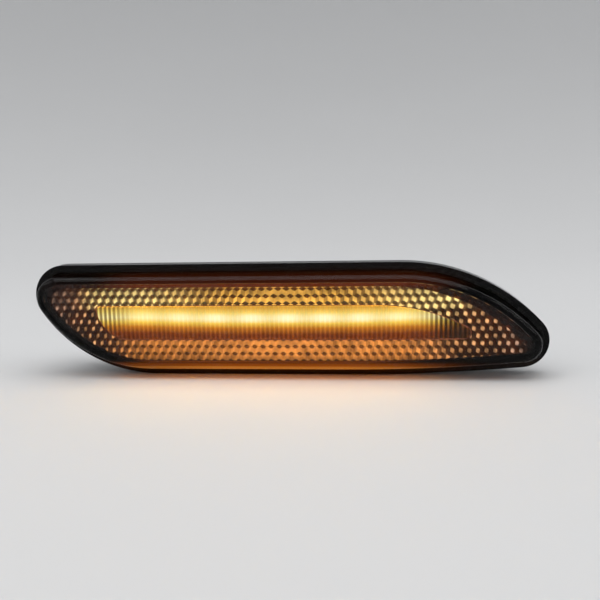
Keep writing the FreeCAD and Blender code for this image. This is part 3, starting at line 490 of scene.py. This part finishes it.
def lamp_glow(name):
    """Masks for the light bar's own glow and for the painted light: the fading ends, the middle, spots over
    the LEDs, the upper half, the painted glow of the bands above and below the cells with a painted highlight
    line, and the way from which the painted light on the cells comes."""
    group, tree, _, outputs = new_group(
        name,
        {},
        {
            "Ends": "Float",
            "Middle": "Float",
            "Hot": "Float",
            "Upper": "Float",
            "Bands": "Color",
            "Towards": "Vector",
        },
    )
    settings, tint = light(), colours()
    x, _, z = tree.coordinates()
    ends = tree.math("MAXIMUM", tree.smooth(x, *LEFT_END), tree.smooth(x, *RIGHT_END))
    middle = tree.smooth(tree.math("ABSOLUTE", x), *MIDDLE)
    tree.feed(outputs["Ends"], ends)
    tree.feed(outputs["Middle"], middle)
    tree.feed(outputs["Hot"], tree.ripple(x, settings.led_first, settings.led_pitch))
    tree.feed(outputs["Upper"], tree.smooth(z, *UPPER_HALF))
    # Painted light: glow of the plain bands above and below the cells
    above = tree.product(tree.smooth(z, *TOP_BAND), tree.smooth(z, *TOP_BAND_FADE, TOP_BAND_LEAST))
    below = tree.product(tree.smooth(z, *BOTTOM_BAND), tree.smooth(z, *BOTTOM_BAND_FADE, BOTTOM_BAND_LEAST))
    top = tree.mix(above, BLACK, tint.band_top)
    bottom = tree.mix(below, BLACK, tint.band_bottom)
    # Painted highlight line in the lens's lower edge
    edge = tree.smooth(tree.math("ABSOLUTE", tree.math("ADD", z, EDGE_HIGHLIGHT_DROP)), *EDGE_HIGHLIGHT)
    bottom = tree.mix(edge, bottom, tint.edge_highlight)
    bottom = tree.times(bottom, tree.between(middle, BOTTOM_BAND_ASIDE, 1.0))
    bands = tree.mix(1.0, top, bottom, "ADD")
    tree.feed(outputs["Bands"], tree.mix(tree.math("MULTIPLY", ends, BAND_END_LOSS), bands, BLACK))
    # Way from which the painted light on the cells comes
    towards = tree.add("ShaderNodeCombineXYZ")
    tree.feed(towards.inputs["X"], tree.math("DIVIDE", x, LIGHT_REACH))
    towards.inputs["Z"].default_value = LIGHT_RISE
    tree.feed(outputs["Towards"], tree.vector("NORMALIZE", towards.outputs[0]))
    return group


def cell_highlights_and_shade(name):
    """Painted spots on the honeycomb: a painted highlight on the facet of each cell that looks outwards and
    up, and a spot of painted shade on the facet that looks down. Three waves, one along each of the
    honeycomb's three directions, add up to one spot a cell."""
    sockets = {"Bead": "Float", "Dark": "Float"}
    group, tree, inputs, outputs = new_group(name, {"Size": ("Float", 0.0)}, sockets)
    settings = light()
    x, _, z = tree.coordinates()
    column = tree.math("DIVIDE", tree.math("ABSOLUTE", x), settings.cell_pitch)
    row = tree.math("DIVIDE", tree.math("ADD", z, settings.cell_drop), settings.row_pitch)
    half_row = tree.math("MULTIPLY", row, 0.5)
    phases = (tree.math("ADD", column, half_row), tree.math("SUBTRACT", column, half_row), row)
    for socket, (crests, stretch) in CELL_SPOTS.items():
        first, second, third = (tree.wave(phase, crest, 1.0) for phase, crest in zip(phases, crests))
        total = tree.math("ADD", tree.math("ADD", first, second), third)
        if socket == "Bead":
            total = tree.math("ADD", total, inputs["Size"])
        tree.feed(outputs[socket], tree.smooth(total, *stretch))
    return group


# Finishes

def new_material(name, roughness=0.5, metallic=0.0):
    """A material with one Principled shader; returns it, its tree and the shader's inputs."""
    material = bpy.data.materials.new(name)
    material.use_nodes = True
    tree = Tree(material.node_tree)
    shader = material.node_tree.nodes["Principled BSDF"]
    shader.inputs["Roughness"].default_value = roughness
    shader.inputs["Metallic"].default_value = metallic
    return material, tree, shader.inputs


def dress(material, *nodes):
    """Gives CAD nodes their finish."""
    for name in nodes:
        mesh = NODES[name].data
        mesh.materials.clear()
        mesh.materials.append(material)


def moulded(name, colour, roughness, scale=1800.0, spread=0.15, depth=0.03 * MM, strength=0.25, shine=0.5):
    """Moulded plastic or foam with a fine grain."""
    material, tree, shader = new_material(name, roughness)
    shader["Specular IOR Level"].default_value = shine
    group = kept_group(moulded_grain)
    grain = tree.group(group, Scale=scale, Colour=colour, Roughness=roughness, Spread=spread)
    tree.feed(shader["Base Color"], grain["Colour"])
    tree.feed(shader["Roughness"], grain["Roughness"])
    tree.feed(shader["Normal"], tree.bump(grain["Height"], strength, depth))
    return material


def spilt(tree, colour):
    """The colour as the eye sees it, and a stronger amber where it lights something else."""
    bounced = tree.math("MINIMUM", tree.add("ShaderNodeLightPath").outputs["Diffuse Depth"], 1.0)
    strong = scaled(colours().spill, light().spill)
    return tree.times(colour, tree.mix(bounced, WHITE, strong))


def lens_material():
    """Smoked clear plastic, polished, with a slight waviness, and painted light glowing in its crown: the
    bands above and below the cells, and a painted highlight line in its lower edge.
    """
    material, tree, shader = new_material("smoked_lens", roughness=0.02)
    tree.feed(shader["Base Color"], colours().lens)
    shader["Transmission Weight"].default_value = 1.0
    shader["IOR"].default_value = LENS_INDEX
    waves = tree.noise(LENS_WAVES, detail=2.0)
    tree.feed(shader["Roughness"], tree.smooth(waves, *LENS_WAVE_RANGE, *LENS_ROUGHNESS))
    # Painted light: the bands' glow on the crown, weak on the flange
    crown = tree.smooth(tree.coordinates()["Y"], *LENS_CROWN, LENS_FLANGE_GLOW)
    bands = tree.group(kept_group(lamp_glow))["Bands"]
    tree.feed(shader["Emission Color"], tree.times(bands, crown))
    shader["Emission Strength"].default_value = LENS_GLOW
    return material


def bar_material():
    """Clear amber flutes: white-yellow along a line, orange below, with painted shade between the flutes:
    dark lines in the glow, strongest at the ends, and a darker base colour.
    """
    material, tree, shader = new_material("glowing_bar", roughness=0.22)
    settings, tint = light(), colours().bar
    x, _, z = tree.coordinates()
    glow = tree.group(kept_group(lamp_glow))
    height = tree.math("DIVIDE", tree.math("SUBTRACT", z, settings.bar_bottom), settings.bar_height)
    height = tree.math("MULTIPLY_ADD", glow["Middle"], BAR_MIDDLE_RISE, height)
    from_core = tree.math("ABSOLUTE", tree.math("SUBTRACT", height, CORE_HEIGHT))
    white = tree.product(
        tree.smooth(from_core, *CORE_EDGE),
        tree.between(glow["Middle"], *CORE_MIDDLE),
        tree.between(glow["Hot"], *CORE_HOT),
    )
    body = tree.mix(white, tree.ramp(height, BAR_GLOW), CORE_COLOUR)
    # Painted shade between the flutes, in the glow
    ridge = tree.math("POWER", tree.ripple(x, settings.flute_first, settings.flute_pitch), RIDGE_POWER)
    left = tree.smooth(x, *LEFT_FLUTES, 0.0, LEFT_CONTRAST)
    right = tree.smooth(x, *RIGHT_FLUTES, 0.0, RIGHT_CONTRAST)
    low = tree.smooth(z, *LOW_FLUTES, *LOW_CONTRAST)
    contrast = tree.math("MAXIMUM", tree.math("MAXIMUM", left, right), low)
    ends = tree.math("MAXIMUM", tree.smooth(x, *BAR_LEFT_END), tree.smooth(x, *BAR_RIGHT_END))
    level = tree.product(
        tree.between(contrast, 1.0, ridge),
        tree.between(glow["Hot"], *BAR_HOT),
        tree.between(ends, 1.0, BAR_END_LEVEL),
    )
    tree.feed(shader["Emission Color"], spilt(tree, tree.times(body, level)))
    shader["Emission Strength"].default_value = settings.bar_strength
    # Painted shade: darker base colour between the flutes
    tree.feed(shader["Base Color"], tree.mix(ridge, scaled(tint, BAR_SHADE), tint))
    return material


def near_window(tree, x, z):
    """A mask of the window and the rim round it: under its top edge, which falls away to the right along
    an arc, above its bottom edge and to the right of its left end."""
    settings = light()
    past = tree.math("MAXIMUM", tree.math("SUBTRACT", x, settings.window_turn), 0.0)
    square = tree.math("SUBTRACT", settings.window_radius**2, tree.product(past, past))
    fall = tree.math("SUBTRACT", settings.window_radius, tree.math("SQRT", square))
    over = tree.math("ADD", tree.math("SUBTRACT", z, settings.window_top), fall)
    under = tree.math("SUBTRACT", settings.bar_bottom, z)
    return tree.product(
        tree.smooth(over, *WINDOW_TOP_RIM),
        tree.smooth(under, *WINDOW_BOTTOM_RIM),
        tree.smooth(x, *WINDOW_LEFT_RIM),
    )


def lit_facets(tree, glow, normal, aside, top_rows):
    """How much painted light a point of the cells shows: by the turn of its facet to the painted light, more
    evenly in the outer top rows and below the bar, as painted highlights towards the ends, and with a spot of
    painted shade in each cell."""
    outer_low = tree.smooth(aside, *LOWER_HIGHLIGHTS, 0.0, MOST_HIGHLIGHT)
    outer_high = tree.smooth(aside, *UPPER_HIGHLIGHTS, 0.0, MOST_HIGHLIGHT)
    outer = tree.between(glow["Upper"], outer_low, outer_high)
    smaller = tree.math("MULTIPLY", glow["Ends"], END_HIGHLIGHT_GAIN)
    size = tree.math("MULTIPLY_ADD", top_rows, TOP_HIGHLIGHT_GAIN, smaller)
    spots = tree.group(kept_group(cell_highlights_and_shade), Size=size)
    # Painted highlights towards the ends, and a spot of painted shade in each cell
    highlights = tree.between(outer, 1.0, spots["Bead"])
    shade_spots = tree.between(spots["Dark"], 1.0, tree.between(glow["Upper"], *DARK_LEVELS))
    facet = tree.smooth(tree.vector("DOT_PRODUCT", normal, glow["Towards"], out="Value"), *FACET_TURN)
    inner = tree.math("SUBTRACT", 1.0, glow["Ends"])
    lower = tree.math("SUBTRACT", 1.0, glow["Upper"])
    soft_top = tree.product(top_rows, outer, SOFT_TOP)
    soft_bottom = tree.product(lower, inner, SOFT_BOTTOM)
    soft = tree.math("MAXIMUM", soft_top, soft_bottom)
    return tree.product(tree.between(soft, facet, 1.0), highlights, shade_spots)


def cell_colours(tree, glow, aside, z, ends):
    """Colour of the light painted in the cells: yellow above the bar, orange below it, browner at the ends
    and tips, and weaker in the top row and the lowest row."""
    tint = colours()
    over_bar = tree.mix(glow["Middle"], tint.cell_top, tint.cell_middle)
    rows = tree.mix(glow["Upper"], tint.cell_bottom, over_bar)
    cells = tree.mix(ends, rows, tint.cell_end)
    cells = tree.mix(tree.smooth(aside, *TIPS), cells, tint.cell_tip)
    down = tree.smooth(z, *DOWN_TO_BAR, *DOWN_LEVELS)
    return tree.times(cells, tree.product(down, tree.smooth(z, *LOWEST_ROW, LOWEST_ROW_LEAST)))


def plate_material():
    """Amber plastic cells with painted light: facets turned to the painted light glow, the others stay dark
    and get a darker base colour as painted shade. The flat faces show the painted glow of the bands and of
    the rim of the window."""
    material, tree, shader = new_material("reflex_cells", roughness=0.16)
    tint = colours()
    x, _, z = tree.coordinates()
    aside = tree.math("ABSOLUTE", x)
    top_rows = tree.smooth(z, *TOP_ROWS)
    glow = tree.group(kept_group(lamp_glow))
    normal = tree.add("ShaderNodeNewGeometry").outputs["Normal"]
    facing = lit_facets(tree, glow, normal, aside, top_rows)
    top_ends = tree.math("MAXIMUM", tree.smooth(x, *TOP_LEFT_END), tree.smooth(x, *TOP_RIGHT_END))
    ends = tree.between(top_rows, glow["Ends"], top_ends)
    # Painted light: the cells' glow, with the painted shade of the dark facets
    lit = tree.mix(facing, tint.cell_dark, cell_colours(tree, glow, aside, z, ends))
    flat = tree.smooth(tree.coordinates(normal)["Y"], *FLAT_FACE)
    # Painted light: the rim of the window, and the painted glow of the bands on the flat faces
    rim = tree.mix(near_window(tree, x, z), glow["Bands"], tint.window_rim_light)
    # Painted glints at the ends, a random mottle elsewhere
    mottle = tree.noise(CELL_MOTTLE, detail=2.0)
    even = tree.math("DIVIDE", mottle, MOTTLE_MEAN)
    patchy = tree.between(ends, even, tree.smooth(mottle, *GLINTS, *GLINT_LEVELS))
    seen = tree.times(tree.mix(flat, lit, rim), patchy)
    tree.feed(shader["Emission Color"], spilt(tree, seen))
    shader["Emission Strength"].default_value = light().field_strength
    # Painted shade: facets turned away from the painted light get a darker base colour
    tree.feed(shader["Base Color"], tree.mix(facing, scaled(tint.plate, PLATE_SHADE), tint.plate))
    return material


def led_material():
    """LED with a pale package whose resin glows amber in the middle."""
    material, tree, shader = new_material("lit_led", roughness=0.35)
    tint = colours()
    resin = tree.smooth(tree.coordinates()["Y"], *RESIN_FACE)
    package = tree.mix(tree.noise(PACKAGE_MOTTLE, detail=2.0), tint.led_shade, tint.led_package)
    tree.feed(shader["Base Color"], tree.mix(resin, package, tint.led_resin))
    tree.feed(shader["Emission Color"], tree.mix(resin, BLACK, tint.led_glow))
    shader["Emission Strength"].default_value = light().led_strength
    return material


def metal_material(name, colour, roughness, along):
    """Rolled metal with fine lines along one direction."""
    material, tree, shader = new_material(name, roughness, metallic=1.0)
    stretched = tree.vector("MULTIPLY", tree.place(), along)
    lines = tree.noise(METAL_LINES, detail=3.0, roughness=0.6, where=stretched)
    tree.feed(shader["Base Color"], tree.mix(lines, scaled(colour, METAL_SHADE), colour))
    spread = (roughness + METAL_SMOOTHER, roughness + METAL_ROUGHER)
    tree.feed(shader["Roughness"], tree.smooth(lines, *METAL_LINE_RANGE, *spread))
    tree.feed(shader["Normal"], tree.bump(lines, strength=0.12, distance=0.01 * MM))
    return material


def board_material():
    """Green solder mask over a faint pattern of copper tracks."""
    material, tree, shader = new_material("solder_mask", roughness=0.3)
    x, _, z = tree.coordinates()
    rows = tree.math("SINE", tree.math("MULTIPLY", z, FULL_TURN / TRACK_PITCH))
    steps = tree.math("SINE", tree.math("MULTIPLY", x, FULL_TURN / light().led_pitch))
    track = tree.smooth(tree.math("MULTIPLY_ADD", steps, TRACK_BEND, rows), *TRACK_EDGE)
    tree.feed(shader["Base Color"], tree.mix(track, colours().board, colours().track))
    tree.feed(shader["Normal"], tree.bump(track, strength=0.3, distance=0.03 * MM))
    return material


# Stage

def surface(name, points, material):
    """A mesh from a grid of points (rows, columns, 3), with one quad between each four neighbours."""
    rows, columns = points.shape[:2]
    index = np.arange(rows * columns).reshape(rows, columns)
    quads = np.stack([index[:-1, :-1], index[:-1, 1:], index[1:, 1:], index[1:, :-1]], axis=-1).reshape(-1, 4)
    mesh = bpy.data.meshes.new(name)
    mesh.from_pydata(points.reshape(-1, 3).tolist(), [], quads.tolist())
    mesh.shade_smooth()
    mesh.materials.append(material)
    piece = bpy.data.objects.new(name, mesh)
    bpy.context.scene.collection.objects.link(piece)
    return piece


def studio_floor():
    """Floor and wall in one round sheet about the lamp: flat out to the start of the sweep, then a quarter
    turn of the sweep's radius up the wall."""
    settings = stage_settings()
    material, tree, shader = new_material("studio_paper", roughness=0.75)
    mottle = tree.noise(FLOOR_MOTTLE, detail=2.0)
    tree.feed(shader["Base Color"], tree.mix(mottle, scaled(settings.floor, FLOOR_SHADE), settings.floor))
    low = CAD_BOX[0][2] - settings.floor_gap
    turn = np.linspace(0.0, FULL_TURN / 4, SWEEP_STEPS)
    out = np.concatenate([[0.0], settings.sweep_start + settings.sweep_radius * np.sin(turn)])
    rise = np.concatenate([[0.0], settings.sweep_radius * (1.0 - np.cos(turn))]) + low
    about = np.linspace(0.0, FULL_TURN, ROUND_STEPS)[:, None]
    grid = np.stack(np.broadcast_arrays(out * np.cos(about), out * np.sin(about), rise), axis=-1)
    return surface("studio_floor", grid, material)


def studio_lights():
    """A wide soft lamp overhead, one further off at each side, and even light all round."""
    for name, place, side, watts in STUDIO_LAMPS:
        lamp = bpy.data.lights.new(name, "AREA")
        lamp.shape = "SQUARE"
        lamp.size = side
        lamp.energy = watts
        item = bpy.data.objects.new(name, lamp)
        item.location = place
        item.rotation_euler = (-Vector(place)).to_track_quat("-Z", "Y").to_euler()
        bpy.context.scene.collection.objects.link(item)
    settings = stage_settings()
    world = bpy.data.worlds.new("studio_air")
    world.use_nodes = True
    background = world.node_tree.nodes["Background"].inputs
    background["Color"].default_value = (*settings.air, 1.0)
    background["Strength"].default_value = settings.air_strength
    bpy.context.scene.world = world


def photo_camera():
    """Camera at the photograph's viewing angle, aimed so that the lamp's middle shows at the aim pixel."""
    settings = stage_settings()
    turn, rise, roll = (math.radians(a) for a in (settings.azimuth, settings.elevation, settings.roll))
    back = Vector((math.sin(turn) * math.cos(rise), -math.cos(turn) * math.cos(rise), math.sin(rise)))
    right = (-back).cross(Vector((0.0, 0.0, 1.0))).normalized()
    up = right.cross(-back)
    right, up = right * math.cos(roll) + up * math.sin(roll), up * math.cos(roll) - right * math.sin(roll)
    data = bpy.data.cameras.new("photo_camera")
    data.sensor_width = SENSOR_WIDTH
    data.lens = settings.focal_pixels * SENSOR_WIDTH / PHOTO_WIDTH
    data.shift_x = (PHOTO_WIDTH / 2 - settings.aim_x) / PHOTO_WIDTH
    data.shift_y = (settings.aim_y - PHOTO_WIDTH / 2) / PHOTO_WIDTH
    data.clip_start = CLIP_START
    data.dof.use_dof = False
    camera = bpy.data.objects.new("photo_camera", data)
    place = Vector((0.0, -settings.aim_depth, 0.0)) + back * settings.distance
    turned = Matrix((right, up, back)).transposed().to_4x4()
    camera.matrix_world = Matrix.Translation(place) @ turned
    bpy.context.scene.collection.objects.link(camera)
    bpy.context.scene.camera = camera


# Operators

class LampOperator:
    """What every step of dressing the lamp has in common."""

    bl_options = {"REGISTER", "UNDO"}


class LAMP_OT_cover_lens(LampOperator, bpy.types.Operator):
    """Finish the smoked cover lens"""

    bl_idname = "lamp.cover_lens"
    bl_label = "Cover Lens"

    def execute(self, context):
        dress(lens_material(), "outer_lens")
        return {"FINISHED"}


class LAMP_OT_light_parts(LampOperator, bpy.types.Operator):
    """Finish the light bar, the reflex plate, the reflector and the LEDs"""

    bl_idname = "lamp.light_parts"
    bl_label = "Light Parts"

    def execute(self, context):
        dress(bar_material(), "light_bar")
        dress(plate_material(), "reflex_plate")
        dress(moulded("white_reflector", colours().reflector, roughness=0.3, spread=0.1), "reflector")
        dress(led_material(), *[name for name in NODES if name.startswith("led_") and name != "led_board"])
        return {"FINISHED"}


class LAMP_OT_board_parts(LampOperator, bpy.types.Operator):
    """Finish the board, the driver parts on it and its screws"""

    bl_idname = "lamp.board_parts"
    bl_label = "Board Parts"

    def execute(self, context):
        tint = colours()
        dress(board_material(), "led_board")
        black = moulded("component_black", tint.component, roughness=0.45, scale=4000.0)
        dress(black, "driver_chip", "blocking_diode", *[n for n in NODES if n.startswith("resistor_")])
        can = metal_material("drawn_can", tint.capacitor, roughness=0.3, along=(1.0, 0.05, 1.0))
        dress(can, "capacitor")
        plated = metal_material("plated_screw", tint.screw, roughness=0.32, along=(1.0, 1.0, 1.0))
        dress(plated, "board_screws")
        return {"FINISHED"}


class LAMP_OT_housing_parts(LampOperator, bpy.types.Operator):
    """Finish the housing, its blades, its seals and the spring clip"""

    bl_idname = "lamp.housing_parts"
    bl_label = "Housing and Fixings"

    def execute(self, context):
        tint = colours()
        black = moulded("black_housing", tint.housing, roughness=0.42, strength=0.15, shine=0.3)
        dress(black, "housing")
        bumps = {"scale": 2600.0, "depth": 0.1 * MM, "strength": 0.6}
        dress(moulded("foam", tint.gasket, roughness=0.85, shine=0.2, **bumps), "gasket")
        dress(moulded("sealant", tint.sealant, roughness=0.4), "lens_sealant")
        strip = metal_material("spring_strip", tint.spring, roughness=0.38, along=(1.0, 1.0, 0.04))
        dress(strip, "spring_clip")
        brass = metal_material("brass_blade", tint.blade, roughness=0.25, along=(1.0, 0.04, 1.0))
        dress(brass, "terminal_positive", "terminal_negative")
        return {"FINISHED"}


class LAMP_OT_stage(LampOperator, bpy.types.Operator):
    """Set up the floor, the lights and the camera"""

    bl_idname = "lamp.stage"
    bl_label = "Stage"

    def execute(self, context):
        studio_floor()
        studio_lights()
        photo_camera()
        context.scene.view_settings.view_transform = "Standard"
        return {"FINISHED"}


OPERATORS = (
    LAMP_OT_cover_lens,
    LAMP_OT_light_parts,
    LAMP_OT_board_parts,
    LAMP_OT_housing_parts,
    LAMP_OT_stage,
)


class LAMP_PT_sidebar(bpy.types.Panel):
    """Steps that dress the lamp"""

    bl_idname = "LAMP_PT_sidebar"
    bl_label = "Side Indicator Lamp"
    bl_space_type = "VIEW_3D"
    bl_region_type = "UI"
    bl_category = "Lamp"

    def draw(self, context):
        for operator in OPERATORS:
            self.layout.operator(operator.bl_idname)
        for settings in (light(), colours(), stage_settings()):
            box = self.layout.box()
            for name in settings.__annotations__:
                box.prop(settings, name)


CLASSES = (LampLight, LampColours, StageSettings, *OPERATORS, LAMP_PT_sidebar)


def register():
    for item in CLASSES:
        bpy.utils.register_class(item)
    bpy.types.Scene.lamp_light = bpy.props.PointerProperty(type=LampLight)
    bpy.types.Scene.lamp_colours = bpy.props.PointerProperty(type=LampColours)
    bpy.types.Scene.lamp_stage = bpy.props.PointerProperty(type=StageSettings)


def unregister():
    del bpy.types.Scene.lamp_stage
    del bpy.types.Scene.lamp_colours
    del bpy.types.Scene.lamp_light
    for item in reversed(CLASSES):
        bpy.utils.unregister_class(item)


def main():
    register()
    bpy.ops.lamp.cover_lens()
    bpy.ops.lamp.light_parts()
    bpy.ops.lamp.board_parts()
    bpy.ops.lamp.housing_parts()
    bpy.ops.lamp.stage()


if __name__ == "__main__":
    main()
